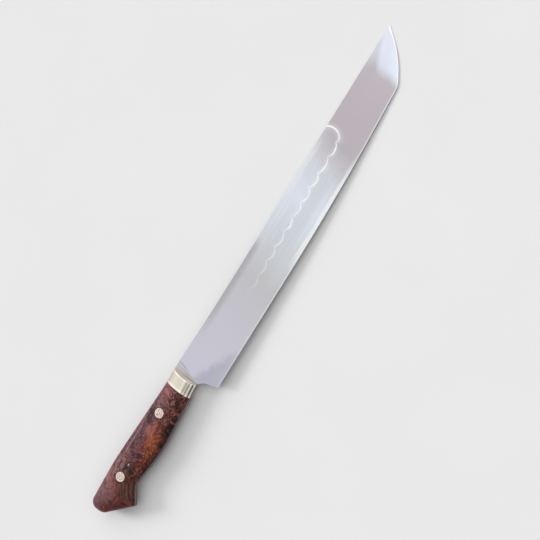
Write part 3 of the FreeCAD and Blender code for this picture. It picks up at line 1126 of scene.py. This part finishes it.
# %% Pale floor
FLOOR_SIZE = 6
rest_x = BOLSTER_X - FRONT_LEAN * (HALF_HANDLE - HALF_STOCK)
floor_slope = (MID_Z - TIP_POINT) / (TIP_X - rest_x)
spread = np.array([[-1, -1], [1, -1], [1, 1], [-1, 1]]) * FLOOR_SIZE / 2
floor_points = np.column_stack([spread, (spread[:, 0] - rest_x) * floor_slope])
floor_mesh = bpy.data.meshes.new("floor")
floor_mesh.from_pydata(floor_points.tolist(), [], [[0, 1, 2, 3]])
floor = bpy.data.objects.new("floor", floor_mesh)
bpy.context.scene.collection.objects.link(floor)
floor_finish = Finish("pale_floor")
floor_tone = floor_finish.noise(floor_finish.place(), 0.01, 3)
floor_colour = floor_finish.blend(floor_tone, (224, 224, 224), (229, 229, 229))
dress(floor_finish.shade(Base_Color=floor_colour, Roughness=0.85), floor)
print("floor slope in degrees:", round(math.degrees(math.atan(floor_slope)), 2))

# %% [markdown]
# ## Light
# Polished metal shows the room around it more than its own colour, so the room matters as much as the
# finish. This one is a pale studio with soft brighter and darker bands from one side to the other, dimmer
# at its two ends, and an even pale ring along the horizon. The bands are what draws fine lines on the
# rounded bolster. One wide, soft lamp stands on the spine's side for a shadow; the sheen on that half of
# the handle is painted sheen in the wood's colour. The lamp is hidden from reflections, so that no
# polished face mirrors it as a white blot.

# %% Room
ROOM_BANDS = [(-1.0, 0.05), (-0.85, 0.10), (-0.63, 1.10), (-0.42, 0.20), (-0.27, 0.90), (-0.14, 0.42),
              (0.0, 0.95), (0.08, 1.20), (0.20, 1.0), (0.42, 1.0), (0.64, 1.12), (0.80, 1.05), (1.0, 0.85)]
TIP_HALF = (-0.10, 0.10, 1, 1.2)
BUTT_END = (-0.8, -0.45, 0.3, 1)
TIP_END = (0.82, 0.96, 1, 0.3)
HORIZON = (0.22, 0.12)
HORIZON_LEVEL = 0.75
world = bpy.data.worlds.new("room")
world.use_nodes = True
bpy.context.scene.world = world
room = Finish("room", world.node_tree)
direction = room.add("ShaderNodeTexCoord", output="Generated")
east, north, up = (room.axis(direction, number) for number in range(3))
bands = [(side / 2 + 0.5, (level, level, level, 1)) for side, level in ROOM_BANDS]
brightness = room.add("ShaderNodeValToRGB", {"stops": bands}, {"Fac": north * 0.5 + 0.5})
for part in (TIP_HALF, BUTT_END, TIP_END):
    brightness = brightness * east.ease(*part)
brightness = brightness + (HORIZON_LEVEL - brightness) * up.ease(*HORIZON)
shell = room.add("ShaderNodeBackground", None, {"Strength": brightness, "Color": (1, 1, 1, 1)})
room.add("ShaderNodeOutputWorld", None, {"Surface": shell})
print("bands in the room:", len(ROOM_BANDS))

# %% Lamp
LAMP_FROM = Vector((-0.62, 1.60, 0.86))
lamp_data = bpy.data.lights.new("window", "SUN")
lamp_data.angle = math.radians(20)
lamp_data.energy = 1.8
lamp = bpy.data.objects.new("window", lamp_data)
lamp.visible_glossy = False
lamp_turn = LAMP_FROM.to_track_quat("Z", "Y").to_matrix().to_4x4()
lamp.matrix_world = Matrix.Translation(LAMP_FROM) @ lamp_turn
bpy.context.scene.collection.objects.link(lamp)
print("lamp energy:", round(lamp_data.energy, 2))

# %% [markdown]
# ## Camera
# The camera looks down on the knife from beyond the edge and the tip, with a long lens, so that the
# outline is hardly foreshortened. Its axes are worked out from where it stands, where it looks and which
# way is up in the picture.

# %% Camera
CAMERA_FROM = Vector((308.98, -421.57, 1094.6)) * MM
CAMERA_TO = Vector((20.05, -4.76, 7.0)) * MM
CAMERA_UP = Vector((0.8219, 0.5697, 0))
camera_data = bpy.data.cameras.new("camera")
camera_data.sensor_width = 36
camera_data.lens = 105.83
camera = bpy.data.objects.new("camera", camera_data)
back = (CAMERA_FROM - CAMERA_TO).normalized()
right = CAMERA_UP.cross(back).normalized()
axes = Matrix((right, back.cross(right), back)).transposed().to_4x4()
camera.matrix_world = Matrix.Translation(CAMERA_FROM) @ axes
bpy.context.scene.collection.objects.link(camera)
bpy.context.scene.camera = camera
bpy.context.scene.view_settings.view_transform = "Standard"
away = (CAMERA_FROM - CAMERA_TO).length
print("camera", round(away, 2), "m away, lens", round(camera_data.lens, 2), "mm")
